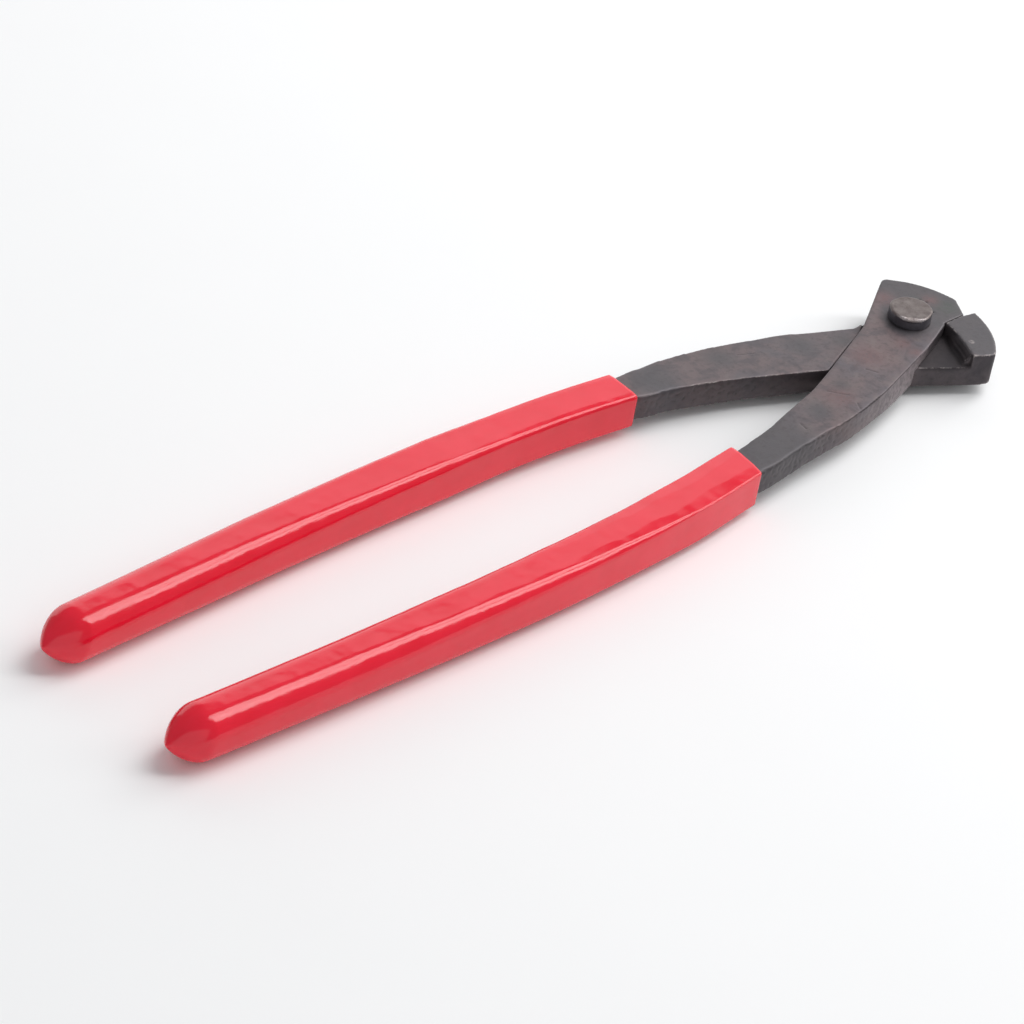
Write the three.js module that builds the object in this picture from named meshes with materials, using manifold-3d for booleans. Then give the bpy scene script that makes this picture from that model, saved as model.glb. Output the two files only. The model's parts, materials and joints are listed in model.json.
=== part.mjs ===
// Long-handled end nippers for fence and trellis wire: two forged levers crossing at a lap joint,
// one rivet through both lap plates, and a dipped plastic grip on each tang.
//
// Plan view while building: the rivet's axis is x = 0, y = 0, the jaws point along +X, the upper
// lever's jaw is on the +Y side and its handle on the -Y side. The finished tool is then moved so
// that it stands on z = 0 with the centre of its box over the origin. Millimetres throughout.

import * as THREE from 'three';
import { mergeVertices } from 'three/addons/utils/BufferGeometryUtils.js';
import Module from 'manifold-3d';

const wasm = await Module();
wasm.setup();

// ---------------------------------------------------------------- driving dimensions

const CENTRE_Y = -3.2;          // the head's mid-line lies beside the rivet, not through it
const PARTING_Y = -6.2;         // line along which the two jaws meet
const JAW_GAP = 0.25;           // daylight between the closed jaws

const HEAD_RADIUS = 24.3;       // striking arc across the front of both jaws
const HEAD_ARC_X = -6.7;        // centre of that arc
const HEAD_HALF_ANGLE = 54;     // degrees from the mid-line to each outer corner
const CORNER_RADIUS = 1.2;
const JAW_REACH = 30;           // safely past the front of the jaws

const HEAD_BOTTOM = 2.6;
const HEAD_TOP = 11.8;
const JAW_RISE = 0.05;          // slope of both jaws' underside, up towards the front
const LAP_Z = 8.3;              // plane between the two lap plates
const LAP_GAP = 0.2;
const LAP_RADIUS = 18.4;        // round end of the relief under the upper lever, at the lap
const LAP_RADIUS_LOW = 20.6;    // and at its lower face

const UPPER_BEVEL = { x: 14.1, arcY: -0.3 };   // cutting bevel: foot on the parting line, top on the arc
const LOWER_BEVEL = { x: 14.1, arcY: -6.9 };

const RIVET = { shank: 3.4, head: 5.6, faceRadius: 5.1, chamfer: 0.5, play: 0.1 };
const RIVET_TOP_HEIGHT = 3.1;
const RIVET_UNDER_HEIGHT = HEAD_BOTTOM - RIVET.play;
const BORE_RADIUS = 3.5;

const MOUTH_X = { upper: -81.8, lower: -84.5 };   // where each grip ends, seen from above
const TANG_SHOWS = 0.8;         // the tang starts this far outside its grip
const TANG_END_X = -248;
const TANG = { widthMouth: 9.5, widthEnd: 7.0, heightMouth: 7.0, heightEnd: 5.4 };
const GRIP_PLAY = 0.3;          // clearance kept between a grip's sleeve and the tang in it
const GRIP_RING = 20;           // corners of each section of a grip
const GRIP_STEPS = 34;

// ---------------------------------------------------------------- materials

const forgedSteel = (name) => new THREE.MeshStandardMaterial({
  name, color: 0x57504f, roughness: 0.5, metalness: 0.85,
});
const rivetSteel = new THREE.MeshStandardMaterial({
  name: 'rivet steel', color: 0x766d68, roughness: 0.42, metalness: 0.9,
});
const dippedPlastic = new THREE.MeshStandardMaterial({
  name: 'dipped plastic', color: 0xd81e34, roughness: 0.3, metalness: 0,
});

// ---------------------------------------------------------------- small helpers

const point = (x, y) => new THREE.Vector2(x, y);
const points = (...pairs) => pairs.map(([x, y]) => point(x, y));

// A closed three.js geometry as a solid that can be joined and cut.
function solid(geometry) {
  const bare = new THREE.BufferGeometry();
  bare.setAttribute('position', geometry.getAttribute('position'));
  bare.setIndex(geometry.index);
  const merged = mergeVertices(bare, 1e-5);
  return new wasm.Manifold(new wasm.Mesh({
    numProp: 3,
    vertProperties: new Float32Array(merged.getAttribute('position').array),
    triVerts: new Uint32Array(merged.index.array),
  }));
}

function namedMesh(body, name, material) {
  const { vertProperties, triVerts } = body.getMesh();
  const geometry = new THREE.BufferGeometry();
  geometry.setAttribute('position', new THREE.BufferAttribute(vertProperties, 3));
  geometry.setIndex(new THREE.BufferAttribute(triVerts, 1));
  geometry.computeVertexNormals();
  const mesh = new THREE.Mesh(geometry, material);
  mesh.name = name;
  return mesh;
}

// A plan outline given a thickness from z = low to z = high.
function plate(shape, low, high) {
  const geometry = new THREE.ExtrudeGeometry(shape, {
    depth: high - low, bevelEnabled: false, curveSegments: 10,
  });
  return solid(geometry.translate(0, 0, low));
}

// A side outline, drawn in x and z, running right across the tool.
function sideProfile(shape) {
  const reach = 120;
  const geometry = new THREE.ExtrudeGeometry(shape, {
    depth: 2 * reach, bevelEnabled: false, curveSegments: 10,
  });
  return solid(geometry.rotateX(Math.PI / 2).translate(0, reach, 0));
}

// A round block about the rivet's axis; its radius may be another one at its lower end.
function disc(radius, low, high, lowRadius = radius) {
  const geometry = new THREE.CylinderGeometry(radius, lowRadius, high - low, 64);
  return solid(geometry.rotateX(Math.PI / 2).translate(0, 0, (low + high) / 2));
}

function polygon(corners) {
  return new THREE.Shape(corners);
}

// Where the front arc stands at a given y.
const arcX = (y) => HEAD_ARC_X + Math.sqrt(HEAD_RADIUS ** 2 - (y - CENTRE_Y) ** 2);
const arcAngle = (y) => Math.asin((y - CENTRE_Y) / HEAD_RADIUS);

// ---------------------------------------------------------------- the handles' run

// Centre lines of the two handles, seen from above, from inside the arm to the palm end.
const HANDLE = {
  upper: new THREE.SplineCurve(points(
    [-72, -19.8], [-84, -21.4], [-104, -23.8], [-129, -25.3], [-160, -25.9],
    [-204, -25.3], [-240, -24.3], [-260.8, -23.4])),
  lower: new THREE.SplineCurve(points(
    [-72, 15.9], [-84, 17.3], [-104, 19.2], [-125, 20.1], [-155, 20.3],
    [-193, 19.7], [-235, 18.0], [-262.4, 17.0])),
};
const MOUTH_Z = 7.2;
const PALM_Z = 6.3;
const handleStart = -72;
const handleEnd = (side) => HANDLE[side].points.at(-1).x;

// Height of the handle's centre line: it drops a little towards the palm end.
function handleZ(x) {
  const along = THREE.MathUtils.clamp((x - handleStart) / (handleEnd('lower') - handleStart), 0, 1);
  return THREE.MathUtils.lerp(MOUTH_Z, PALM_Z, along);
}

// The flat steel tang inside a grip, tapering to its end, or, with play, the hole that it fills.
function tangSolid(side, play) {
  const curve = HANDLE[side];
  const steps = 24;
  const left = [];
  const right = [];
  for (let i = 0; i <= steps; i += 1) {
    const centre = curve.getPoint(i / steps);
    const along = (centre.x - handleStart) / (TANG_END_X - handleStart);
    const half = THREE.MathUtils.lerp(TANG.widthMouth, TANG.widthEnd, along) / 2 + play;
    const tangent = curve.getTangent(i / steps);
    const normal = point(-tangent.y, tangent.x);
    left.push(centre.clone().addScaledVector(normal, half));
    right.unshift(centre.clone().addScaledVector(normal, -half));
  }
  const plan = plate(polygon([...left, ...right]), 0, HEAD_TOP + 2);
  const rise = (x, sign) => {
    const along = (x - handleStart) / (TANG_END_X - handleStart);
    return handleZ(x) + sign * (THREE.MathUtils.lerp(TANG.heightMouth, TANG.heightEnd, along) / 2 + play);
  };
  const start = MOUTH_X[side] + TANG_SHOWS;
  const end = TANG_END_X - play;
  const profile = polygon(points(
    [start, rise(start, 1)], [end, rise(end, 1)], [end, rise(end, -1)], [start, rise(start, -1)]));
  return plan.intersect(sideProfile(profile));
}

// ---------------------------------------------------------------- upper lever

function upperLeverPlan() {
  const jawEdgeY = PARTING_Y + JAW_GAP / 2;
  const cornerAngle = THREE.MathUtils.degToRad(HEAD_HALF_ANGLE);
  const corner = point(
    HEAD_ARC_X + HEAD_RADIUS * Math.cos(cornerAngle), CENTRE_Y + HEAD_RADIUS * Math.sin(cornerAngle));
  const shape = new THREE.Shape();
  shape.moveTo(6.4, jawEdgeY);
  shape.lineTo(UPPER_BEVEL.x, jawEdgeY);
  shape.lineTo(arcX(UPPER_BEVEL.arcY), UPPER_BEVEL.arcY);
  shape.absarc(HEAD_ARC_X, CENTRE_Y, HEAD_RADIUS, arcAngle(UPPER_BEVEL.arcY), cornerAngle - 0.05, false);
  shape.quadraticCurveTo(corner.x, corner.y, corner.x - CORNER_RADIUS, corner.y - 0.6 * CORNER_RADIUS);
  shape.lineTo(-13, 3.9);
  shape.splineThru(points(
    [-21.4, 0.4], [-29.5, -2.9], [-37.6, -6.1], [-45.5, -8.9], [-55.3, -11.2], [-64.5, -13.6],
    [-73, -15.1], [-81.2, -16.3]));
  shape.lineTo(-81.2, -25.8);
  shape.splineThru(points(
    [-74.7, -25.6], [-68, -24.7], [-57.5, -23.5], [-44, -22.4], [-31, -19.7], [-22.5, -17.1],
    [-14.1, -14.4], [-4.1, -11.0], [6.4, -6.6]));
  return shape;
}

// Seen from the side: flat head, then the arm, which settles towards the handle's centre line.
function upperLeverSide() {
  const shape = new THREE.Shape();
  shape.moveTo(2, HEAD_BOTTOM);
  shape.lineTo(JAW_REACH, HEAD_BOTTOM + JAW_RISE * (JAW_REACH - 2));
  shape.lineTo(JAW_REACH, HEAD_TOP);
  shape.lineTo(-28, HEAD_TOP);
  shape.splineThru(points([-50, 11.5], [-82, 10.7]));
  shape.lineTo(-82, 3.7);
  shape.splineThru(points([-50, 4.6], [-16, 5.2]));
  shape.lineTo(-12, 5.2);
  shape.lineTo(-12, HEAD_BOTTOM);
  return shape;
}

// Room under the upper plate for the lower one: behind the jaw, and clear of the lower lever's edge.
function upperLapRelief() {
  const top = LAP_Z + LAP_GAP / 2;
  const behindJaw = polygon(points(
    [7.1, -12], [7.2, 0], [7.0, 6.5], [4.0, 14.5], [1, 22], [-40, 22], [-37, -0.2],
    [-31.9, -3.5], [-11.2, -13.2], [-6, -18]));
  const handleSide = polygon(points([4, -40], [4, 30], [-40, 30], [-40, -40]));
  const round = disc(LAP_RADIUS, HEAD_BOTTOM - 1, top, LAP_RADIUS_LOW);
  return plate(behindJaw, 0, top).add(round.intersect(plate(handleSide, 0, top)));
}

function upperLever() {
  return plate(upperLeverPlan(), HEAD_BOTTOM, HEAD_TOP)
    .intersect(sideProfile(upperLeverSide()))
    .subtract(upperLapRelief())
    .subtract(disc(BORE_RADIUS, 0, HEAD_TOP + 5))
    .add(tangSolid('upper', 0));
}

// ---------------------------------------------------------------- lower lever

function lowerLeverPlan() {
  const jawEdgeY = PARTING_Y - JAW_GAP / 2;
  const cornerAngle = -THREE.MathUtils.degToRad(HEAD_HALF_ANGLE + 0.5);
  const corner = point(
    HEAD_ARC_X + HEAD_RADIUS * Math.cos(cornerAngle), CENTRE_Y + HEAD_RADIUS * Math.sin(cornerAngle));
  const shape = new THREE.Shape();
  shape.moveTo(LOWER_BEVEL.x, jawEdgeY);
  shape.lineTo(6.2, jawEdgeY);
  shape.absarc(0, 0, 6.9, -0.35, 1.15, false);
  shape.splineThru(points([0.5, 8.4], [-5, 8.1], [-11.8, 7.3]));
  shape.splineThru(points(
    [-18.7, 10.0], [-31, 14.8], [-40.4, 17.2], [-52.6, 20.0], [-66, 21.7], [-76, 22.1], [-83.9, 22.0]));
  shape.lineTo(-83.9, 12.5);
  shape.splineThru(points(
    [-79.5, 11.6], [-72.5, 10.7], [-63, 8.3], [-52.4, 5.1], [-42.8, 1.6], [-31.6, -2.7],
    [-10.9, -12.7]));
  shape.lineTo(corner.x - 0.8 * CORNER_RADIUS, corner.y + 0.4 * CORNER_RADIUS);
  const onArc = cornerAngle + 0.05;
  shape.quadraticCurveTo(
    corner.x, corner.y, HEAD_ARC_X + HEAD_RADIUS * Math.cos(onArc), CENTRE_Y + HEAD_RADIUS * Math.sin(onArc));
  shape.absarc(HEAD_ARC_X, CENTRE_Y, HEAD_RADIUS, onArc, arcAngle(LOWER_BEVEL.arcY), false);
  return shape;
}

function lowerLeverSide() {
  const shape = new THREE.Shape();
  shape.moveTo(2, HEAD_BOTTOM);
  shape.lineTo(JAW_REACH, HEAD_BOTTOM + JAW_RISE * (JAW_REACH - 2));
  shape.lineTo(JAW_REACH, HEAD_TOP);
  shape.lineTo(0, HEAD_TOP);
  shape.lineTo(0, 8.9);
  shape.lineTo(-25, 8.9);
  shape.splineThru(points([-50, 9.5], [-84.5, 10.7]));
  shape.lineTo(-84.5, 3.7);
  shape.splineThru(points([-60, 3.0], [-28, HEAD_BOTTOM]));
  return shape;
}

// Room over the lower plate for the upper one: the open pocket behind the jaw, and the crossing.
function lowerLapRelief() {
  const bottom = LAP_Z - LAP_GAP / 2;
  const room = polygon(points(
    [30, 30], [-8.6, 30], [-8.6, 9.5], [-8.9, 7.4], [-9.6, 6.6], [-12.3, 4.9], [-13.6, 4.5],
    [-21.6, 1.5], [-29.8, -1.9], [-38, -5.0], [-40, -40], [1, -40], [0.9, -23], [2.7, -19.35],
    [4.4, -15.9], [5.7, -12.4], [6.8, -8.4], [7.0, PARTING_Y], [30, PARTING_Y]));
  return plate(room, bottom, HEAD_TOP + 5);
}

function lowerLever() {
  return plate(lowerLeverPlan(), HEAD_BOTTOM, HEAD_TOP)
    .intersect(sideProfile(lowerLeverSide()))
    .subtract(lowerLapRelief())
    .subtract(disc(BORE_RADIUS, 0, HEAD_TOP + 5))
    .add(tangSolid('lower', 0));
}

// ---------------------------------------------------------------- pivot rivet

function pivotRivet() {
  const { shank, head, faceRadius, chamfer, play } = RIVET;
  const low = HEAD_BOTTOM - play;
  const high = HEAD_TOP + play;
  const base = low - RIVET_UNDER_HEIGHT;
  const top = high + RIVET_TOP_HEIGHT;
  const profile = points(
    [0, base], [faceRadius, base], [head, base + chamfer], [head, low], [shank, low],
    [shank, high], [head, high], [head, top - chamfer], [faceRadius, top], [0, top]);
  return solid(new THREE.LatheGeometry(profile, 48).rotateX(Math.PI / 2));
}

// ---------------------------------------------------------------- grips

// Sections of a grip, mouth to palm end: [how far along, width, height, squareness].
const GRIP_SECTIONS = {
  upper: [[0, 12.0, 10.3, 6], [0.12, 12.0, 10.5, 5], [0.4, 12.3, 11.6, 3.4], [0.7, 12.7, 12.3, 2.7],
    [1, 12.9, 12.6, 2.3]],
  lower: [[0, 11.4, 9.6, 6], [0.22, 11.2, 10.0, 5], [0.33, 12.1, 11.1, 4], [0.7, 13.0, 12.5, 2.7],
    [1, 12.9, 12.6, 2.3]],
};
const PALM_ROUND = 12;          // length of the blunt round end

function gripSection(side, along) {
  const rows = GRIP_SECTIONS[side];
  const next = Math.max(1, rows.findIndex((row) => row[0] >= along));
  const [from, to] = [rows[next - 1], rows[next]];
  const mix = (along - from[0]) / (to[0] - from[0]);
  return [1, 2, 3].map((i) => THREE.MathUtils.lerp(from[i], to[i], mix));
}

function signedPower(value, exponent) {
  return Math.sign(value) * Math.abs(value) ** exponent;
}

// One grip's outside: rounded-square sections strung on the handle's centre line, with a blunt end.
function gripOutside(side) {
  const curve = HANDLE[side];
  const startU = findAlong(curve, MOUTH_X[side]);
  const length = curve.getLength() * (1 - startU);
  const positions = [];
  const index = [];
  for (let i = 0; i <= GRIP_STEPS; i += 1) {
    const t = 1 - (1 - i / GRIP_STEPS) ** 1.6;
    const [width, height, square] = gripSection(side, t);
    const fromEnd = (1 - t) * length;
    const shrink = fromEnd >= PALM_ROUND ? 1
      : Math.max(0.25, Math.sqrt(1 - (1 - fromEnd / PALM_ROUND) ** 2.1));
    const u = startU + t * (1 - startU);
    const centre = curve.getPointAt(u);
    const tangent = curve.getTangentAt(u);
    for (let k = 0; k < GRIP_RING; k += 1) {
      const angle = (2 * Math.PI * (k + 0.5)) / GRIP_RING;
      const across = (width / 2) * shrink * signedPower(Math.cos(angle), 2 / square);
      const up = (height / 2) * shrink * signedPower(Math.sin(angle), 2 / square);
      positions.push(centre.x - tangent.y * across, centre.y + tangent.x * across, handleZ(centre.x) + up);
    }
  }
  const ring = (i, k) => i * GRIP_RING + (k % GRIP_RING);
  for (let i = 0; i < GRIP_STEPS; i += 1) {
    for (let k = 0; k < GRIP_RING; k += 1) {
      index.push(ring(i, k), ring(i, k + 1), ring(i + 1, k));
      index.push(ring(i + 1, k), ring(i, k + 1), ring(i + 1, k + 1));
    }
  }
  for (let k = 1; k < GRIP_RING - 1; k += 1) {
    index.push(ring(0, 0), ring(0, k + 1), ring(0, k));
    index.push(ring(GRIP_STEPS, 0), ring(GRIP_STEPS, k), ring(GRIP_STEPS, k + 1));
  }
  const geometry = new THREE.BufferGeometry();
  geometry.setAttribute('position', new THREE.Float32BufferAttribute(positions, 3));
  geometry.setIndex(index);
  return solid(geometry);
}

// How far along a curve, 0 to 1 by length, its x falls to the given value.
function findAlong(curve, x) {
  let low = 0;
  let high = 1;
  for (let i = 0; i < 30; i += 1) {
    const middle = (low + high) / 2;
    if (curve.getPointAt(middle).x > x) low = middle;
    else high = middle;
  }
  return low;
}

function grip(side) {
  return gripOutside(side).subtract(tangSolid(side, GRIP_PLAY));
}

// ---------------------------------------------------------------- the tool

const nippers = new THREE.Group();
nippers.add(
  namedMesh(upperLever(), 'upper_lever', forgedSteel('upper lever steel')),
  namedMesh(lowerLever(), 'lower_lever', forgedSteel('lower lever steel')),
  namedMesh(pivotRivet(), 'pivot_rivet', rivetSteel),
  namedMesh(grip('upper'), 'upper_grip', dippedPlastic),
  namedMesh(grip('lower'), 'lower_grip', dippedPlastic),
);

const box = new THREE.Box3().setFromObject(nippers);
const middle = box.getCenter(new THREE.Vector3());
nippers.position.set(-middle.x, -middle.y, -box.min.z);

export default nippers;
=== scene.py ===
"""Looks of a pair of long-handled end nippers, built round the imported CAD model.

The two levers, the rivet and the two grips are each remade here as one fine mesh that stands for its
CAD node. Places are in millimetres from the pivot: x = 0, y = 0 is the rivet's axis, z = 0 the floor.
"""

import json
import math

import bpy
import numpy as np
from mathutils import Matrix, Vector, noise

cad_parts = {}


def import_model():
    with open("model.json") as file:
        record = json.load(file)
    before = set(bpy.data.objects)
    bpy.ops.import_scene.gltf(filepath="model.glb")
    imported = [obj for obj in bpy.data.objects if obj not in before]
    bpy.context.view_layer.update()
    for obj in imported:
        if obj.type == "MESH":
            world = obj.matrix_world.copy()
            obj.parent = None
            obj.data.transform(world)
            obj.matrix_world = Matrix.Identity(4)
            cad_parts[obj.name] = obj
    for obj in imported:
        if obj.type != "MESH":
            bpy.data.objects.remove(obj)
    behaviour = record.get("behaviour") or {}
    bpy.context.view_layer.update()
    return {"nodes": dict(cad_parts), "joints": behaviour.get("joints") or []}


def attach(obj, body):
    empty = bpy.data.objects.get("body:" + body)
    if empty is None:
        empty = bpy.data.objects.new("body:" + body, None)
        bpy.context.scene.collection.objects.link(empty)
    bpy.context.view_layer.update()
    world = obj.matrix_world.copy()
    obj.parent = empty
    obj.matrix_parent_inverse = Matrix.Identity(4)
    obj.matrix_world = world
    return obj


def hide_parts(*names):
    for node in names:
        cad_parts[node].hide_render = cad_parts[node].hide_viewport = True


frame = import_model()

MM = 0.001
PIVOT = Vector(frame["joints"][0]["pos_m"])
PIVOT.z = 0.0

# ---------------------------------------------------------------- driving dimensions, mm

HEAD_TOP = 11.8                 # height of the head's upper faces

# The lower lever's pocket: the wall behind the jaw, seen from above, and the steps at the wall's foot.
POCKET_WALL = [(7.0, -6.2), (6.8, -8.4), (5.7, -12.4), (4.4, -15.9), (2.7, -19.35)]
SIDE_RUN = (-0.886, 0.463)      # direction of the lever's near side, from the jaw towards the handle
# Each step: width, from z, to z, and how much narrower it is at the top.
WALL_STEPS = [(1.1, 7.3, 10.4, 0.0), (1.1, 10.4, 11.6, 1.0), (1.7, 7.3, 9.8, 0.0), (2.3, 7.3, 8.8, 0.0)]
STEP_BITE = 1.5                 # how far a step reaches into the wall
STEP_NARROW = (-7, -12.5)       # stretch of y in which a step comes up to its full width
STEP_LEAST = 0.15               # share of its width that a step has before that

# The lip on the lower jaw's meeting face: how far it reaches out of the face, into it and down.
JAW_FACE_Y = -6.325             # the meeting face
JAW_LIP_X = (7.3, 13.8)
JAW_LIP = {"out": 0.16, "in": 0.8, "down": 5, "below_top": 0.02}

# A lever's fine mesh.
VOXEL = 0.28
HIDDEN_X = -94                  # the tangs are out of sight beyond this
KEPT_FACES = 0.58               # share of a lever's faces kept when its tang is thinned out
# Rounds of smoothing, the stretch of x in which the arm gets even towards its grip, the stretch under
# the grip's mouth in which the unevenness ends, and the noise's seed.
FORGING = {
    "upper": {"rounds": 5, "even": (-38, -68), "ends": (-84, -80), "seed": 3},
    "lower": {"rounds": 4, "even": (-66, -76), "ends": (-87, -83), "seed": 8},
}
SIDE_ROUNDS = 16                # rounds of smoothing on the side faces
# Stretches of x in which the head passes into the jaw and into the arm, and the arm comes to its grip.
TO_JAW = (0, 5)
TO_ARM = (-6, -14)
TO_GRIP = {"upper": (-50, -66), "lower": (-68, -76)}
SWELL = (0.05, 14.0)            # depth and size of the slow unevenness
DENTS = (0.02, 2.6)             # depth and size of the fine unevenness
SCALE_PITS = (0.20, 1.3)        # depth and size of the pits in the arms' near sides
FLARE = 0.6                     # how far the upper arm's near side stands out at its foot
EDGE_ROUNDS = 12                # rounds of smoothing that tell how far an edge stands out

# Small dents in the upper faces: x, y and radius. Scratches: from one point to another.
PITS = [(8.9, 4.8, 0.5), (9.6, 3.0, 0.45), (7.8, -1.1, 0.4), (-49.3, -23.2, 0.6), (-63.4, -24.6, 0.7)]
PIT_DEPTH = 0.28
SCRATCHES = [
    ((-41.9, -11.0), (-38.4, -15.2)), ((-39.1, -18.8), (-40.3, -21.0)),
    ((-57.5, -17.1), (-57.8, -19.2)), ((-47.6, 13.9), (-43.2, 12.4)), ((-26.4, -9.7), (-24.9, -12.3)),
]
SCRATCH_DEPTH = 0.11
SCRATCH_WIDTH = 0.28

# Tints left by heat and use on the head and arms: x, y and reach of each patch.
PINK_PATCHES = [
    (-9.8, -11.1, 2.2), (-9.8, -6.9, 2.6), (1.3, 10.0, 3.0), (11.2, 3.1, 2.2), (-22, -6, 5),
    (-41, -15, 4),
]
GREEN_PATCHES = [(12.6, -1.4, 3.0), (8.2, 4.4, 1.8)]
DARK_PATCHES = [
    (12.2, -1.6, 3.5), (-18.4, 4.4, 4.0), (-49.4, -15.8, 3.5), (-37, -11.2, 2.5), (-75, 16, 8),
    (-68, -19, 9), (-30, 9, 5), (-53, 15, 5),
]
WORN_SPOTS = [(6.5, -15.6, 1.3)]    # rubbed bright

RIVET = {"shank": 3.4, "head": 5.6, "face": 5.2, "base": 2.5, "plate": 11.9, "top": 15.0}
RIVET_SEGMENTS = 128
RIVET_BEAT = {"depth": 0.05, "from": 3, "over": 2.6}    # share by which the upper head's rim is uneven
# A flat hammered on the upper head's rim: where it starts, how steep it is and how uneven the face is.
RIVET_FLAT = {"start": 4.35, "slope": 0.42, "ripple": 0.035}
FLAT_ANGLE = math.radians(226)
FLAT_SIDE = Vector((math.cos(FLAT_ANGLE), math.sin(FLAT_ANGLE)))

# The grips. Each handle's centre line, seen from above, from the arm to the palm end.
HANDLE = {
    "upper": [
        (-72, -19.8), (-84, -21.4), (-104, -23.8), (-129, -25.3),
        (-160, -25.9), (-204, -25.3), (-240, -24.3), (-260.8, -23.4),
    ],
    "lower": [
        (-72, 15.9), (-84, 17.3), (-104, 19.2), (-125, 20.1),
        (-155, 20.3), (-193, 19.7), (-235, 18.0), (-262.4, 17.0),
    ],
}
HANDLE_START = HANDLE["lower"][0][0]
HANDLE_END = HANDLE["lower"][-1][0]
START_Z = 7.2                   # height of the centre line at the handle's start
PALM_Z = 6.3                    # and at its end
MOUTH_X = {"upper": -81.8, "lower": -84.5}
MOUTH_REACH = {"upper": (3.1, 0.4), "lower": (0.0, 0.7)}    # extra length, far side and near side
MOUTH_FADE = 18                 # distance from the mouth in which that extra length dies away
LIP_LENGTH = 0.6                # length of the rounding at a mouth
LIP_DEPTH = 0.06                # share by which a grip is narrower at the very mouth
# Sections of a grip, mouth to palm end: how far along, width, height, corner radius.
GRIP_SECTIONS = {
    "upper": [
        (0, 11.5, 9.9, 0.4), (0.13, 11.7, 10.3, 0.45), (0.22, 11.8, 10.7, 1.3), (0.4, 12.2, 11.6, 2.5),
        (0.7, 12.6, 12.3, 4.4), (1, 12.8, 12.6, 5.3),
    ],
    "lower": [
        (0, 10.9, 9.4, 0.8), (0.22, 11.1, 10.0, 1.2), (0.33, 12.0, 11.1, 1.9), (0.7, 12.8, 12.5, 4.3),
        (1, 12.8, 12.6, 5.3),
    ],
}
DROOP_WIDTH = {"upper": 3.2, "lower": 2.0}      # width of the strips where the upper face falls off
DROOP_WANDER = 0.35             # share by which that width wanders
EDGE_TILT = 0.122               # how steeply those strips fall
PALM_STRETCH = (100, 165)       # distance from the mouth in which a section becomes the palm's
UNDERSIDE_CUT = 0.12            # share by which the palm's underside is flatter than its top
PALM_TAPER = (10.0, 7.4)        # length of the blunt point at the palm end, above and below
GRIP_SEED = {"upper": 2.3, "lower": 9.1}
GRIP_RINGS = 480
GRIP_AROUND = 192

# Angles in degrees, lengths in millimetres.
CAMERA = {"elevation": 35.5, "azimuth": 49.25, "roll": 10.5, "lens": 158.2, "distance": 1127.8}
CAMERA_AIM = Vector((0.0, 0.0, HEAD_TOP))
CAMERA_OFFSET = (0.08827, 0.04293)      # the aim right and up of the line of sight, per unit of distance

# Soft lights: direction from the tool, distance and size in metres, brightness.
LIGHTS = {
    "back_wall": ((0.70, 0.61, 0.345), 2.2, (5.0, 1.64), 1.0),
    "front_fill": ((-0.75, -0.60, 0.35), 2.2, (3.0, 3.0), 0.52),
    "main_box": ((0.617, 0.03, 0.786), 1.5, (0.56, 1.7), 4.2),
    "second_box": ((0.617, -0.37, 0.69), 1.5, (0.36, 1.4), 5.2),
}
FLOOR_HALF = 6.0                # half the floor's width, m
FLOOR_DROP = 0.00002            # how far the floor lies under the tool, so that no faces coincide, m


# ---------------------------------------------------------------- mesh helpers

def world(points_mm):
    """Points in millimetres from the pivot, as metres in the part's frame."""
    return np.asarray(points_mm, float) * MM + np.array(PIVOT)


def local(points_m):
    """Points in metres in the part's frame, as millimetres from the pivot."""
    return (np.asarray(points_m, float) - np.array(PIVOT)) / MM


def new_object(name, mesh):
    obj = bpy.data.objects.new(name, mesh)
    bpy.context.scene.collection.objects.link(obj)
    return obj


def read_points(mesh):
    flat = np.empty(len(mesh.vertices) * 3, np.float32)
    mesh.vertices.foreach_get("co", flat)
    return flat.reshape(-1, 3).astype(float)


def write_points(mesh, points):
    mesh.vertices.foreach_set("co", points.astype(np.float32).ravel())
    mesh.update()


def read_edges(mesh):
    flat = np.empty(len(mesh.edges) * 2, np.int32)
    mesh.edges.foreach_get("vertices", flat)
    return flat.reshape(-1, 2)


def read_normals(mesh):
    flat = np.empty(len(mesh.vertices) * 3, np.float32)
    mesh.vertex_normals.foreach_get("vector", flat)
    return flat.reshape(-1, 3).astype(float)


def smoothed(points, edges, strength, rounds):
    """Each point drawn towards the mean of its neighbours; strength is one number or one per point."""
    count = len(points)
    degree = np.bincount(edges.ravel(), minlength=count)[:, None]
    strength = np.broadcast_to(np.asarray(strength, float), (count,))[:, None]
    a, b = edges[:, 0], edges[:, 1]
    for _ in range(rounds):
        total = np.stack([
            np.bincount(a, points[b, k], count) + np.bincount(b, points[a, k], count) for k in range(3)
        ], axis=1)
        points = points + strength * (total / degree - points)
    return points


def noise_at(points, scale, seed):
    """Smooth noise from -1 to 1; scale is the size of its bumps in the points' own unit."""
    shift = Vector((seed * 17.31, seed * 5.77, seed * 11.93))
    return np.array([noise.noise(Vector(p) + shift) for p in points / scale])


def ramp(value, start, end):
    """0 before start and 1 after end, with a smooth rise between."""
    t = np.clip((value - start) / (end - start), 0, 1)
    return t * t * (3 - 2 * t)


def put_attribute(mesh, name, values):
    layer = mesh.attributes.new(name, "FLOAT", "POINT")
    layer.data.foreach_set("value", np.asarray(values, np.float32))


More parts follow.
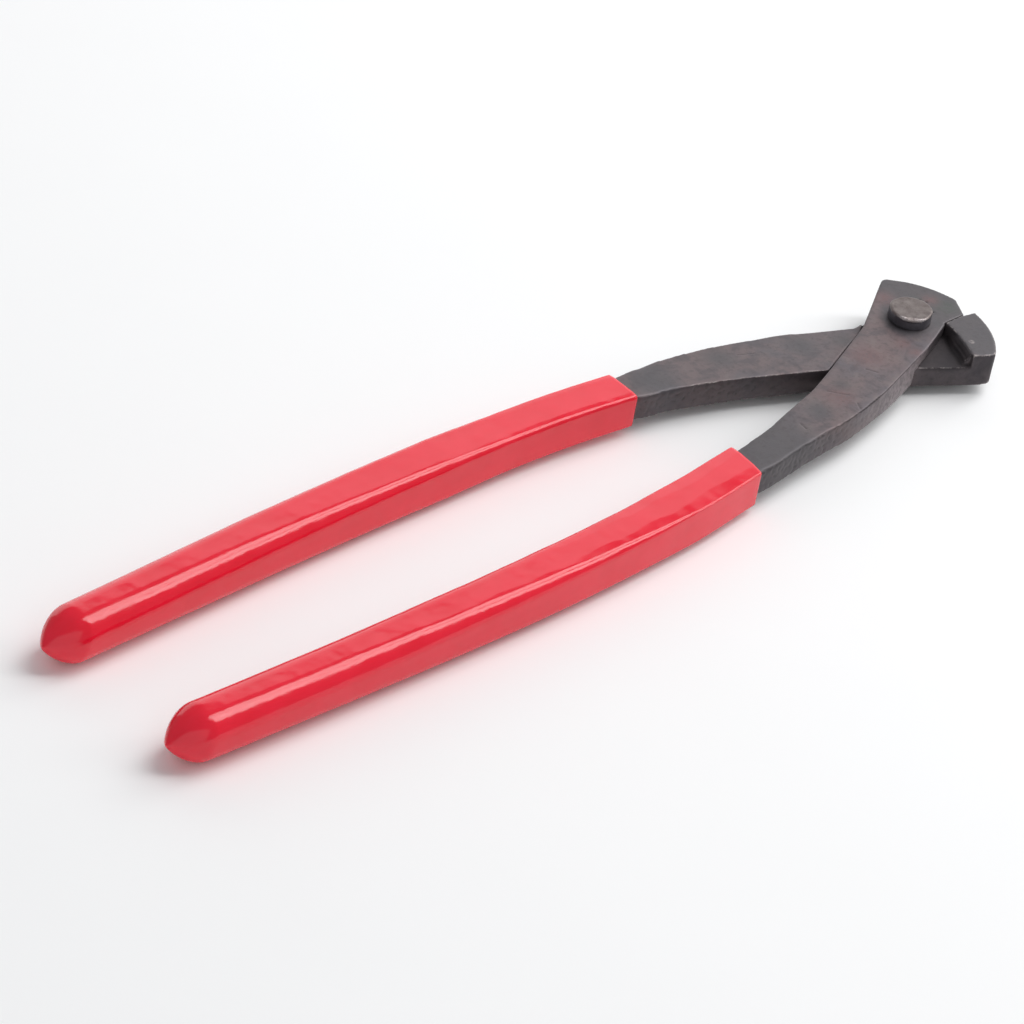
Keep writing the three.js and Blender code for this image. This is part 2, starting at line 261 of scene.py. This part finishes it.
def mark_edges(mesh, reach, rubbed=1.0, painted_shade=0.0, pocket_shade=0.0):
    """Stores where points stand out and are worn bright or darkened with painted shade, painted shade in
    the pocket, and where points lie in a nook, which get painted shade.
    """
    points, edges = local(read_points(mesh)), read_edges(mesh)
    standing = points - smoothed(points, edges, 0.5, EDGE_ROUNDS)
    relief = np.einsum("ij,ij->i", standing, read_normals(mesh)) / reach
    worn = np.maximum(np.clip(relief, 0, 1) * rubbed, patches(points, WORN_SPOTS))
    put_attribute(mesh, "worn", np.clip(worn, 0, 1))
    put_attribute(mesh, "painted_shade", np.maximum(np.clip(relief, 0, 1) * painted_shade, pocket_shade))
    # Painted shade: points that lie in a nook are darkened.
    put_attribute(mesh, "nook_shade", np.clip(-relief, 0, 1))


def patches(points, spots):
    """How strongly each point, seen from above, lies in one of the soft round patches."""
    amount = np.zeros(len(points))
    for x, y, reach in spots:
        away = np.hypot(points[:, 0] - x, points[:, 1] - y) / reach
        amount = np.maximum(amount, np.exp(-away ** 2))
    return amount


def shade_smooth(mesh):
    mesh.polygons.foreach_set("use_smooth", np.ones(len(mesh.polygons), bool))


def lathe(name, profile, segments, wobble):
    """A closed turned body: its profile runs from axis to axis, and wobble moves each point."""
    ring = [wobble(2 * math.pi * k / segments, r, z) for r, z in profile[1:-1] for k in range(segments)]
    points = [(0, 0, profile[0][1])] + ring + [(0, 0, profile[-1][1])]
    rows = len(profile) - 2
    last = len(points) - 1

    def at(row, k):
        return 1 + row * segments + k % segments

    faces = []
    for k in range(segments):
        faces.append((0, at(0, k + 1), at(0, k)))
        faces.append((last, at(rows - 1, k), at(rows - 1, k + 1)))
        for row in range(rows - 1):
            faces.append((at(row, k), at(row, k + 1), at(row + 1, k + 1), at(row + 1, k)))
    mesh = bpy.data.meshes.new(name)
    mesh.from_pydata(world(points).tolist(), [], faces)
    shade_smooth(mesh)
    return new_object(name, mesh)


# ---------------------------------------------------------------- node helpers

class Nodes:
    """A material's node tree, with short calls for the nodes used here."""

    def __init__(self, name):
        self.material = bpy.data.materials.new(name)
        self.material.use_nodes = True
        self.tree = self.material.node_tree
        self.shader = self.tree.nodes["Principled BSDF"]
        self.place = self.tree.nodes.new("ShaderNodeTexCoord").outputs["Object"]

    def add(self, kind, **inputs):
        node = self.tree.nodes.new(kind)
        for key, value in inputs.items():
            self.feed(node.inputs[key], value)
        return node

    def feed(self, socket, value):
        if isinstance(value, bpy.types.NodeSocket):
            self.tree.links.new(value, socket)
        else:
            socket.default_value = value

    def noise(self, size_mm, detail=4.0, roughness=0.55, distortion=0.0):
        node = self.add(
            "ShaderNodeTexNoise", Vector=self.place, Scale=1 / (size_mm * MM), Detail=detail,
            Roughness=roughness, Distortion=distortion)
        return node.outputs["Fac"]

    def attribute(self, name):
        node = self.tree.nodes.new("ShaderNodeAttribute")
        node.attribute_name = name
        return node.outputs["Fac"]

    def map(self, value, low, high, to_low=0.0, to_high=1.0):
        node = self.tree.nodes.new("ShaderNodeMapRange")
        for key, number in zip(("Value", "From Min", "From Max", "To Min", "To Max"),
                               (value, low, high, to_low, to_high)):
            self.feed(node.inputs[key], number)
        return node.outputs["Result"]

    def maths(self, operation, a, b):
        node = self.tree.nodes.new("ShaderNodeMath")
        node.operation = operation
        self.feed(node.inputs[0], a)
        self.feed(node.inputs[1], b)
        return node.outputs[0]

    def mix(self, amount, a, b):
        node = self.tree.nodes.new("ShaderNodeMix")
        node.data_type = "RGBA"
        self.feed(node.inputs["Factor"], amount)
        self.feed(node.inputs["A"], a)
        self.feed(node.inputs["B"], b)
        return node.outputs["Result"]

    def bump(self, height, distance_mm, under=None):
        node = self.add("ShaderNodeBump", Height=height, Distance=distance_mm * MM)
        if under is not None:
            self.feed(node.inputs["Normal"], under)
        return node.outputs["Normal"]


def rgb(red, green, blue):
    return (red, green, blue, 1.0)


# ---------------------------------------------------------------- materials

def forged_steel():
    """Blackened forged steel: ground faces with heat tints, darker scale on the sides, rubbed edges, and
    painted shade in nooks, in the lower lever's pocket and along the upper arm's near top edge.
    """
    n = Nodes("forged_steel")
    tint = n.noise(14, detail=3, distortion=0.6)
    cloud = n.noise(6, detail=5, roughness=0.6, distortion=0.5)
    mottle = n.noise(1.3, detail=5, roughness=0.6)
    ground = n.mix(n.map(tint, 0.36, 0.64), rgb(0.150, 0.112, 0.114), rgb(0.116, 0.102, 0.113))
    ground = n.mix(n.map(cloud, 0.51, 0.62, 0, 0.6), ground, rgb(0.078, 0.068, 0.076))
    ground = n.mix(n.map(cloud, 0.47, 0.36, 0, 0.6), ground, rgb(0.164, 0.134, 0.132))
    # Cool grey tint, which round the rivet's foot is painted shade.
    ground = n.mix(n.maths("MULTIPLY", n.attribute("cool"), 0.85), ground, rgb(0.084, 0.079, 0.085))
    green = n.maths("MULTIPLY", n.attribute("green"), n.map(mottle, 0.40, 0.60, 0.2, 0.8))
    ground = n.mix(green, ground, rgb(0.070, 0.088, 0.074))
    pink = n.maths("MULTIPLY", n.attribute("pink"), n.map(mottle, 0.35, 0.6, 0.3, 0.8))
    ground = n.mix(pink, ground, rgb(0.180, 0.104, 0.104))
    ground = n.mix(n.map(mottle, 0.50, 0.70, 0, 0.5), ground, rgb(0.066, 0.056, 0.060))
    scale = n.mix(n.map(cloud, 0.38, 0.62), rgb(0.052, 0.045, 0.051), rgb(0.082, 0.068, 0.073))
    scale = n.mix(n.map(mottle, 0.50, 0.70, 0, 0.5), scale, rgb(0.034, 0.029, 0.031))
    bare = n.mix(n.map(mottle, 0.42, 0.66), rgb(0.265, 0.222, 0.230), rgb(0.132, 0.110, 0.116))
    base = n.mix(n.attribute("scale"), ground, scale)
    base = n.mix(n.attribute("bare"), base, bare)
    # Painted shade: points in nooks go nearly black.
    base = n.mix(n.map(n.attribute("nook_shade"), 0.12, 0.6, 0, 0.85), base, rgb(0.022, 0.018, 0.019))
    # Painted shade: the marked edges and the pocket go darker, and rougher too.
    base = n.mix(n.map(n.attribute("painted_shade"), 0.35, 0.85, 0, 0.8), base, rgb(0.030, 0.025, 0.027))
    rub = n.maths("MULTIPLY", n.map(n.attribute("worn"), 0.55, 0.95), n.map(mottle, 0.46, 0.60, 0.0, 1))
    base = n.mix(n.maths("MULTIPLY", rub, 0.7), base, rgb(0.38, 0.34, 0.33))
    n.feed(n.shader.inputs["Base Color"], base)
    n.shader.inputs["Metallic"].default_value = 0.55
    n.feed(n.shader.inputs["Roughness"], n.map(n.attribute("painted_shade"), 0.2, 0.8, 0.5, 0.75))
    n.feed(n.shader.inputs["Normal"], n.bump(mottle, 0.04))
    return n.material


def rivet_steel():
    """Warmer, brighter steel, rubbed bright on its upper rim, with a painted highlight on the rim's
    camera side and painted shade on the side below that rim.
    """
    n = Nodes("rivet_steel")
    mottle = n.noise(0.9, detail=5, roughness=0.6)
    cloud = n.noise(2.6, detail=3)
    grain = n.noise(0.2, detail=3)
    face = n.mix(n.map(cloud, 0.35, 0.65), rgb(0.120, 0.096, 0.092), rgb(0.185, 0.158, 0.150))
    face = n.mix(n.map(mottle, 0.5, 0.75, 0, 0.4), face, rgb(0.075, 0.064, 0.062))
    # Painted shade on the rivet's side faces.
    base = n.mix(n.attribute("scale"), face, rgb(0.130, 0.123, 0.140))
    # Rubbed bright rim: wear, with a painted highlight on the side towards the camera.
    rub = n.maths("MULTIPLY", n.map(n.attribute("worn"), 0.3, 0.8), n.map(grain, 0.35, 0.6, 0.5, 1))
    base = n.mix(n.maths("MULTIPLY", rub, 0.75), base, rgb(0.42, 0.38, 0.38))
    n.feed(n.shader.inputs["Base Color"], base)
    n.shader.inputs["Metallic"].default_value = 0.8
    n.feed(n.shader.inputs["Roughness"], n.map(mottle, 0.3, 0.7, 0.36, 0.5))
    n.feed(n.shader.inputs["Normal"], n.bump(mottle, 0.08))
    return n.material


def dipped_plastic():
    """Glossy red dipped PVC with a slight waviness, a few dull smudges and tiny pimples."""
    n = Nodes("dipped_plastic")
    wave = n.noise(9, detail=2)
    smudge = n.noise(5, detail=5, roughness=0.6)
    speck = n.noise(0.9, detail=1)
    base = n.mix(n.map(wave, 0.35, 0.65), rgb(0.78, 0.010, 0.030), rgb(0.82, 0.012, 0.036))
    n.feed(n.shader.inputs["Base Color"], base)
    n.feed(n.shader.inputs["Roughness"], n.map(smudge, 0.35, 0.75, 0.10, 0.22))
    n.shader.inputs["IOR"].default_value = 1.53
    n.shader.inputs["Subsurface Weight"].default_value = 0.08
    n.shader.inputs["Subsurface Radius"].default_value = (0.0012, 0.0003, 0.0002)
    n.shader.inputs["Subsurface Scale"].default_value = 1.0
    pimples = n.bump(n.map(speck, 0.81, 0.87), 0.05)
    n.feed(n.shader.inputs["Normal"], n.bump(wave, 0.25, pimples))
    return n.material


def pale_floor():
    n = Nodes("pale_floor")
    base = n.mix(n.noise(60), rgb(0.92, 0.92, 0.92), rgb(0.94, 0.94, 0.94))
    n.feed(n.shader.inputs["Base Color"], base)
    n.shader.inputs["Roughness"].default_value = 0.7
    n.shader.inputs["Specular IOR Level"].default_value = 0.2
    return n.material


# ---------------------------------------------------------------- levers

def prism(low_corners, high_corners, low, high):
    """A closed block between two outlines with the same number of corners, in millimetres."""
    count = len(low_corners)
    points = [(x, y, low) for x, y in low_corners] + [(x, y, high) for x, y in high_corners]
    faces = [tuple(range(count - 1, -1, -1)), tuple(range(count, 2 * count))]
    for k in range(count):
        b = (k + 1) % count
        faces.append((k, b, count + b, count + k))
    return points, faces


def remeshed(name, node, blocks=()):
    """A copy of a CAD node's shape, joined with some blocks, as one even, fine mesh."""
    source = frame["nodes"][node].data
    points = [tuple(p) for p in read_points(source)]
    faces = [tuple(polygon.vertices) for polygon in source.polygons]
    for block_points, block_faces in blocks:
        start = len(points)
        points += [tuple(p) for p in world(block_points)]
        faces += [tuple(start + k for k in face) for face in block_faces]
    rough_mesh = bpy.data.meshes.new(name + "_rough")
    rough_mesh.from_pydata(points, [], faces)
    rough = new_object(name + "_rough", rough_mesh)
    modifier = rough.modifiers.new("even", "REMESH")
    modifier.mode = "VOXEL"
    modifier.voxel_size = VOXEL * MM
    graph = bpy.context.evaluated_depsgraph_get()
    even = bpy.data.meshes.new_from_object(rough.evaluated_get(graph))
    bpy.data.objects.remove(rough)
    return thinned(name, even)


def thinned(name, even):
    """The mesh with fewer, larger faces along the tang, where the grip hides it."""
    full = new_object(name + "_full", even)
    hidden = np.flatnonzero(local(read_points(even))[:, 0] < HIDDEN_X)
    full.vertex_groups.new(name="tang").add(hidden.tolist(), 1.0, "REPLACE")
    modifier = full.modifiers.new("thin", "DECIMATE")
    modifier.ratio = KEPT_FACES
    modifier.vertex_group = "tang"
    graph = bpy.context.evaluated_depsgraph_get()
    mesh = bpy.data.meshes.new_from_object(full.evaluated_get(graph))
    mesh.materials.clear()
    mesh.name = name
    bpy.data.objects.remove(full)
    return mesh


def forge(points, normals, seed):
    """How far the forging's uneven surface stands off the plain shape."""
    swell = SWELL[0] * noise_at(points, SWELL[1], seed)
    dents = DENTS[0] * noise_at(points, DENTS[1], seed + 1)
    near_side = ramp(-normals[:, 1], 0.3, 0.8) * ramp(points[:, 0], -24, -56)
    pits = SCALE_PITS[0] * np.clip(noise_at(points, SCALE_PITS[1], seed + 2), -1, 0.15) * near_side
    return swell + dents + pits - marks(points, normals)


def marks(points, normals):
    """Depth of the small dents and scratches in the upper faces."""
    depth = np.zeros(len(points))
    for x, y, radius in PITS:
        away = np.hypot(points[:, 0] - x, points[:, 1] - y) / radius
        depth += PIT_DEPTH * np.exp(-away ** 2 * 1.6)
    for start, end in SCRATCHES:
        depth += SCRATCH_DEPTH * np.exp(-(distance_to_line(points, start, end) / SCRATCH_WIDTH) ** 2)
    return depth * ramp(normals[:, 2], 0.3, 0.7)


def distance_to_line(points, start, end):
    """How far each point, seen from above, lies from a straight line between two points."""
    start, along = np.array(start), np.subtract(end, start)
    t = np.clip((points[:, :2] - start) @ along / (along @ along), 0, 1)
    return np.linalg.norm(points[:, :2] - start - t[:, None] * along, axis=1)


def wall_step(width, low, high, slope):
    """One step along the foot of the pocket's wall, narrower near the jaw's parting line."""
    def outline(out):
        rows = []
        for x, y in POCKET_WALL[:-1]:
            room = STEP_LEAST + (1 - STEP_LEAST) * float(ramp(np.array(y), *STEP_NARROW))
            rows.append((x - out * room, y))
        end_x, end_y = POCKET_WALL[-1]
        return rows + [(end_x + SIDE_RUN[0] * out, end_y + SIDE_RUN[1] * out)]

    inside = outline(-STEP_BITE)[::-1]
    return prism(outline(width) + inside, outline(width - slope) + inside, low, high)


def jaw_lip():
    """A thin block that brings the lower jaw's meeting face close to the upper jaw's."""
    back, front = JAW_LIP_X
    inner, outer = JAW_FACE_Y - JAW_LIP["in"], JAW_FACE_Y + JAW_LIP["out"]
    corners = [(back, inner), (front, inner), (front, outer), (back, outer)]
    return prism(corners, corners, HEAD_TOP - JAW_LIP["down"], HEAD_TOP - JAW_LIP["below_top"])


def evened_sides(mesh, points, edges, everywhere):
    """Smooths the arms' side faces, and all faces as strongly as everywhere says at each point."""
    write_points(mesh, world(points))
    side = ramp(np.abs(read_normals(mesh)[:, 2]), 0.5, 0.2) * ramp(points[:, 0], 1, -5)
    points = smoothed(points, edges, 0.5 * np.maximum(side, everywhere), SIDE_ROUNDS)
    write_points(mesh, world(points))
    return points


def flare(points, normals):
    """How far the upper arm's near side stands out, most of all at its foot near the head."""
    x, z = points[:, 0], points[:, 2]
    out = FLARE * ramp(-normals[:, 1], 0.3, 0.9) * ramp(z, 11.2, 7.0)
    return out * (ramp(x, *TO_ARM) * ramp(x, -36, -20))


def forged(side, blocks=()):
    """A lever's fine mesh with its unevenness, its points, and the normals it had without that."""
    finish = FORGING[side]
    mesh = remeshed(side + "_lever_forged", side + "_lever", blocks)
    points, edges = local(read_points(mesh)), read_edges(mesh)
    points = smoothed(points, edges, 0.5, finish["rounds"])
    points = evened_sides(mesh, points, edges, ramp(points[:, 0], *finish["even"]))
    normals = read_normals(mesh)
    off = forge(points, normals, finish["seed"]) * ramp(points[:, 0], *finish["ends"])
    if side == "upper":
        off = off + flare(points, normals)
    points += normals * off[:, None]
    write_points(mesh, world(points))
    return mesh, points, normals


def sideways(normals):
    """1 on the forged side faces, 0 on the ground upper and lower faces."""
    return ramp(np.abs(normals[:, 2]), 0.80, 0.45)


def upper_lever():
    """Cool grey at the jaw and near the grip, painted shade round the rivet's foot and along the near
    top edge, with a half bare near side.
    """
    mesh, points, normals = forged("upper")
    x, y, z = points.T
    near = -normals[:, 1]
    lighter = ramp(near, 0.2, 0.7) * ramp(x, 2, -6)
    scale = sideways(normals) * (1 - 0.8 * lighter)
    cool = np.maximum(ramp(x, *TO_JAW), ramp(x, *TO_GRIP["upper"]))
    # Painted shade: a darker ring round the rivet's foot.
    cool = np.maximum(cool, 0.8 * ramp(np.hypot(x, y), 8.8, 6.2))
    bare = 0.9 * ramp(near, 0.5, 0.8) * ramp(x, -2, -8) * ramp(x, -50, -18)
    # Painted shade of a small crease along the upper arm's near top edge.
    painted_shade = ramp(z, 9, 10) * ramp(near, 0.1, 0.4) * ramp(x, -2, -12)
    finish_lever(mesh, "upper", scale, cool, bare, rubbed=0.3, painted_shade=painted_shade, pocket_shade=0.0)


def lower_lever():
    """Painted shade in the pocket and cool grey at the jaw, with rubbed edges there and lighter arm
    sides.
    """
    mesh, points, normals = forged("lower", [wall_step(*step) for step in WALL_STEPS] + [jaw_lip()])
    x, y, z = points.T
    near_grip = ramp(x, *TO_GRIP["lower"])
    # The pocket behind the jaw, which gets painted shade.
    pocket = ramp(z, 11.5, 11.2) * ramp(x, -12, -8) * ramp(normals[:, 2], -0.2, 0.2)
    arm = ramp(x, *TO_ARM)
    # The pocket also takes the dark side colour, as painted shade.
    scale = np.maximum(sideways(normals) * (1 - 0.6 * arm - 0.28 * near_grip), pocket)
    cool = 0.25 + 0.75 * ramp(x, *TO_JAW)
    rubbed = 1 + 0.6 * ramp(x, 0, 4)
    # The pocket's painted shade goes into the same darkening as the marked edges.
    finish_lever(mesh, "lower", scale, cool, 0.0, rubbed=rubbed, painted_shade=0.0, pocket_shade=0.68 * pocket)


def finish_lever(mesh, side, scale, cool, bare, rubbed, painted_shade, pocket_shade):
    """Stores what the steel looks like at each point, and puts the lever in its place."""
    points = local(read_points(mesh))
    put_attribute(mesh, "scale", scale)
    put_attribute(mesh, "pink", patches(points, PINK_PATCHES))
    put_attribute(mesh, "green", patches(points, GREEN_PATCHES))
    put_attribute(mesh, "cool", np.maximum(cool, patches(points, DARK_PATCHES)))
    put_attribute(mesh, "bare", np.broadcast_to(bare, (len(points),)))
    mark_edges(mesh, 0.18, rubbed, painted_shade, pocket_shade)
    shade_smooth(mesh)
    lever = new_object(side + "_lever_forged", mesh)
    mesh.materials.append(STEEL)
    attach(lever, side + "_side")
    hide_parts(side + "_lever")


# ---------------------------------------------------------------- rivet

def rivet_profile():
    """Radius and height of the rivet's outline, from its underside round to its top."""
    r = RIVET
    profile = [(r["face"] * k / 8, 0.0) for k in range(9)]
    profile += [(r["head"] - 0.10, 0.25), (r["head"], 0.45), (r["head"], r["base"] - 0.2)]
    profile += [(r["head"] - 0.15, r["base"]), (r["shank"] + 0.1, r["base"])]
    profile += [(r["shank"], r["base"] + 0.1), (r["shank"], r["plate"] - 0.1)]
    profile += [(r["shank"] + 0.1, r["plate"]), (r["head"] - 0.15, r["plate"])]
    profile += [(r["head"], r["plate"] + 0.15 + 0.25 * k) for k in range(11)]
    profile += [(r["head"] - 0.04, r["top"] - 0.26), (r["head"] - 0.16, r["top"] - 0.13)]
    profile += [(r["face"] + 0.06, r["top"] - 0.05)]
    profile += [(r["face"] * (1 - k / 24), r["top"]) for k in range(1, 24)]
    return profile + [(0, r["top"])]


def hammered(angle, radius, z):
    """A point of the rivet: its upper head is beaten a little out of round, with a flat on its rim."""
    around = Vector((math.cos(angle), math.sin(angle)))
    upper = z > RIVET["plate"]
    uneven = 0.5 + noise.noise(Vector((around.x * 1.5, around.y * 1.5, 3.1)))
    out = max(0.0, radius - RIVET_BEAT["from"]) / RIVET_BEAT["over"]
    beat = 1 - RIVET_BEAT["depth"] * upper * out * uneven
    x, y = radius * beat * around.x, radius * beat * around.y
    if z > RIVET["top"] - 0.5:
        past = max(0.0, (x * FLAT_SIDE.x + y * FLAT_SIDE.y) - RIVET_FLAT["start"])
        z -= RIVET_FLAT["slope"] * past
        z -= RIVET_FLAT["ripple"] * (1 + noise.noise(Vector((x * 0.5, y * 0.5, 7.7))))
    return (x, y, z)


def pivot_rivet():
    rivet = lathe("pivot_rivet_turned", rivet_profile(), RIVET_SEGMENTS, hammered)
    mesh = rivet.data
    points, normals = local(read_points(mesh)), read_normals(mesh)
    height = points[:, 2]
    # Painted shade: the side faces of the rivet below its top rim are darker.
    put_attribute(mesh, "scale", ramp(np.abs(normals[:, 2]), 0.5, 0.2) * ramp(height, 14.7, 14.4))
    from_axis = np.maximum(np.hypot(points[:, 0], points[:, 1]), 1e-6)
    facing = (points[:, :2] @ np.array(FLAT_SIDE)) / from_axis
    # The top rim is rubbed bright a little all round; the extra brightness on the side towards the
    # camera is a painted highlight.
    rubbed = ramp(height, 14.3, 14.6) * (0.25 + 0.75 * ramp(facing, 0.55, 0.95))
    mark_edges(mesh, 0.10, rubbed)
    mesh.materials.append(RIVET_METAL)
    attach(rivet, "lower_side")
    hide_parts("pivot_rivet")


# ---------------------------------------------------------------- grips

def spline(points, u):
    """A point and direction on a uniform Catmull-Rom curve, u from 0 to 1."""
    span = (len(points) - 1) * min(max(u, 0.0), 1.0)
    i = min(int(span), len(points) - 2)
    t = span - i
    p = [np.array(points[min(max(i + k, 0), len(points) - 1)], float) for k in (-1, 0, 1, 2)]
    v0, v1 = (p[2] - p[0]) / 2, (p[3] - p[1]) / 2
    cubic = 2 * p[1] - 2 * p[2] + v0 + v1
    square = -3 * p[1] + 3 * p[2] - 2 * v0 - v1
    place = cubic * t ** 3 + square * t ** 2 + v0 * t + p[1]
    slope = 3 * cubic * t ** 2 + 2 * square * t + v0
    return place, slope / np.linalg.norm(slope)


def centre_line(side, count):
    """Points and directions along a handle from the grip's mouth, closer at the palm end."""
    fine = [spline(HANDLE[side], k / 2000) for k in range(2001)]
    place = np.array([f[0] for f in fine])
    slope = np.array([f[1] for f in fine])
    run = np.concatenate([[0], np.cumsum(np.linalg.norm(np.diff(place, axis=0), axis=1))])
    start = np.interp(-MOUTH_X[side], -place[:, 0], run)
    length = run[-1] - start
    t = 1 - (1 - np.linspace(0, 1, count)) ** 1.3
    at = start + t * length

    def pick(values):
        return np.stack([np.interp(at, run, values[:, k]) for k in (0, 1)], axis=1)

    return t, pick(place), pick(slope), length


def grip(side):
    """A dipped grip: flat-sided over the tang near its mouth, round and blunt at the palm end."""
    t, place, slope, length = centre_line(side, GRIP_RINGS)
    rows = np.array(GRIP_SECTIONS[side], float)
    width, height, corner = (np.interp(t, rows[:, 0], rows[:, k]) for k in (1, 2, 3))
    run = t * length
    lip = 1 - LIP_DEPTH * (1 - np.sqrt(np.clip(1 - np.clip(1 - run / LIP_LENGTH, 0, 1) ** 2, 0, 1)))
    turn = 2 * np.pi * (np.arange(GRIP_AROUND) + 0.5) / GRIP_AROUND
    angle = turn + 0.19 * np.sin(4 * turn)      # closer together at the section's corners
    cos, sin = np.cos(angle), np.sin(angle)
    points = np.concatenate([
        grip_ring(side, run[i], length, place[i], slope[i], width[i] * lip[i], height[i] * lip[i],
                  corner[i], cos, sin)
        for i in range(GRIP_RINGS)])
    grip_object(side, points, GRIP_RINGS, GRIP_AROUND)


def palm_point(from_end, sin):
    """Share of its width that a grip still has near its palm end, which is a blunt, rounded point."""
    above, below = PALM_TAPER
    t = np.clip(from_end / (below + (above - below) * (0.5 + sin / 2)), 0.0002, 1)
    return (1 - (1 - t) ** 1.7) ** 0.78


def rounded_box(width, height, corner, cos, sin):
    """How far a rectangle with round corners reaches from its middle in each direction."""
    cos, sin = np.abs(cos), np.abs(sin)
    flat = np.minimum(width / 2 / np.maximum(cos, 1e-9), height / 2 / np.maximum(sin, 1e-9))
    x, y = width / 2 - corner, height / 2 - corner
    along = x * cos + y * sin
    round_part = along + np.sqrt(np.maximum(along ** 2 - x ** 2 - y ** 2 + corner ** 2, 0))
    return np.where((flat * cos > x) & (flat * sin > y), round_part, flat)


def grip_ring(side, run, length, place, slope, width, height, corner, cos, sin):
    """One section of a grip, square to its centre line; its upper face falls off towards the edges."""
    palm = float(ramp(np.array(run), *PALM_STRETCH))
    reach = rounded_box(width, height, corner, cos, sin)
    across = cos * reach
    up = sin * reach * (1 - UNDERSIDE_CUT * palm * (sin < 0))
    seed = GRIP_SEED[side]
    wander = noise.noise(Vector((run / 12, seed, 0))) + 0.5 * noise.noise(Vector((run / 4, seed, 4)))
    droop = DROOP_WIDTH[side] * (1 + DROOP_WANDER * wander)
    edge = np.clip((np.abs(across) - width / 2 + droop) / droop, 0, 1)
    up = up - EDGE_TILT * droop * (1 - palm) * edge ** 1.1 * np.clip(2 * up / height, 0, 1)
    point = palm_point(length - run, sin)
    across, up = across * point, up * point
    far, near = MOUTH_REACH[side]
    extra = far + (near - far) * (0.5 + across / width) + 0.3 * noise.noise(Vector((seed, 3.7, 0)))
    extra = extra * (1 - float(ramp(np.array(run), 0, MOUTH_FADE)))
    along = (place[0] - HANDLE_START) / (HANDLE_END - HANDLE_START)
    ring = np.empty((len(across), 3))
    ring[:, 0] = place[0] - slope[1] * across - slope[0] * extra
    ring[:, 1] = place[1] + slope[0] * across - slope[1] * extra
    ring[:, 2] = START_Z + (PALM_Z - START_Z) * along + up
    return ring


def grip_object(side, points, rings, around):
    """The closed skin over a grip's rings, put in its place."""
    faces = []
    for i in range(rings - 1):
        for k in range(around):
            a, b = i * around + k, i * around + (k + 1) % around
            faces.append((a, b, b + around, a + around))
    mouth, tip = len(points), len(points) + 1
    ends = [points[:around].mean(0), points[-around:].mean(0)]
    for k in range(around):
        b = (k + 1) % around
        faces.append((mouth, b, k))
        base = (rings - 1) * around
        faces.append((tip, base + k, base + b))
    mesh = bpy.data.meshes.new(side + "_grip_dipped")
    mesh.from_pydata(world(np.concatenate([points, ends])).tolist(), [], faces)
    shade_smooth(mesh)
    mesh.materials.append(PLASTIC)
    piece = new_object(side + "_grip_dipped", mesh)
    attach(piece, side + "_side")
    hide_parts(side + "_grip")


# ---------------------------------------------------------------- stage

def view_frame():
    """The camera's right, up and view directions."""
    e, phi, roll = (math.radians(CAMERA[k]) for k in ("elevation", "azimuth", "roll"))
    right0 = Vector((math.cos(phi), -math.sin(phi), 0))
    ahead = Vector((math.sin(phi), math.cos(phi), 0))
    up0 = ahead * math.sin(e) + Vector((0, 0, math.cos(e)))
    view = ahead * math.cos(e) - Vector((0, 0, math.sin(e)))
    right = right0 * math.cos(roll) + up0 * math.sin(roll)
    up = up0 * math.cos(roll) - right0 * math.sin(roll)
    return right, up, view


def camera():
    right, up, view = view_frame()
    towards = view + right * CAMERA_OFFSET[0] + up * CAMERA_OFFSET[1]
    data = bpy.data.cameras.new("camera")
    data.lens = CAMERA["lens"]
    data.sensor_width = 36.0
    obj = bpy.data.objects.new("camera", data)
    place = PIVOT + (CAMERA_AIM - towards * CAMERA["distance"]) * MM
    turn = Matrix((right, up, -view)).transposed().to_4x4()
    obj.matrix_world = Matrix.Translation(place) @ turn
    bpy.context.scene.collection.objects.link(obj)
    bpy.context.scene.camera = obj


def soft_box(name, direction, distance, size, radiance):
    """A rectangular light of a given brightness, seen from the tool in a direction, facing it."""
    data = bpy.data.lights.new(name, "AREA")
    data.shape = "RECTANGLE"
    data.size, data.size_y = size
    data.energy = radiance * math.pi * size[0] * size[1]
    obj = bpy.data.objects.new(name, data)
    towards = Vector(direction).normalized()
    obj.location = towards * distance
    obj.rotation_mode = "QUATERNION"
    obj.rotation_quaternion = (-towards).to_track_quat("-Z", "Y")
    bpy.context.scene.collection.objects.link(obj)


def floor():
    mesh = bpy.data.meshes.new("floor")
    half = FLOOR_HALF
    corners = [(-half, -half, 0), (half, -half, 0), (half, half, 0), (-half, half, 0)]
    mesh.from_pydata(corners, [], [(0, 1, 2, 3)])
    mesh.materials.append(pale_floor())
    obj = new_object("floor", mesh)
    obj.location.z = -FLOOR_DROP


def studio():
    scene = bpy.context.scene
    scene.view_settings.view_transform = "Standard"
    world_data = bpy.data.worlds.new("studio")
    world_data.use_nodes = True
    background = world_data.node_tree.nodes["Background"]
    background.inputs["Color"].default_value = rgb(0.95, 0.97, 1.0)
    background.inputs["Strength"].default_value = 0.30
    scene.world = world_data
    for name, light in LIGHTS.items():
        soft_box(name, *light)


# ---------------------------------------------------------------- the tool

STEEL = forged_steel()
RIVET_METAL = rivet_steel()
PLASTIC = dipped_plastic()

upper_lever()
lower_lever()
pivot_rivet()
grip("upper")
grip("lower")
floor()
studio()
camera()
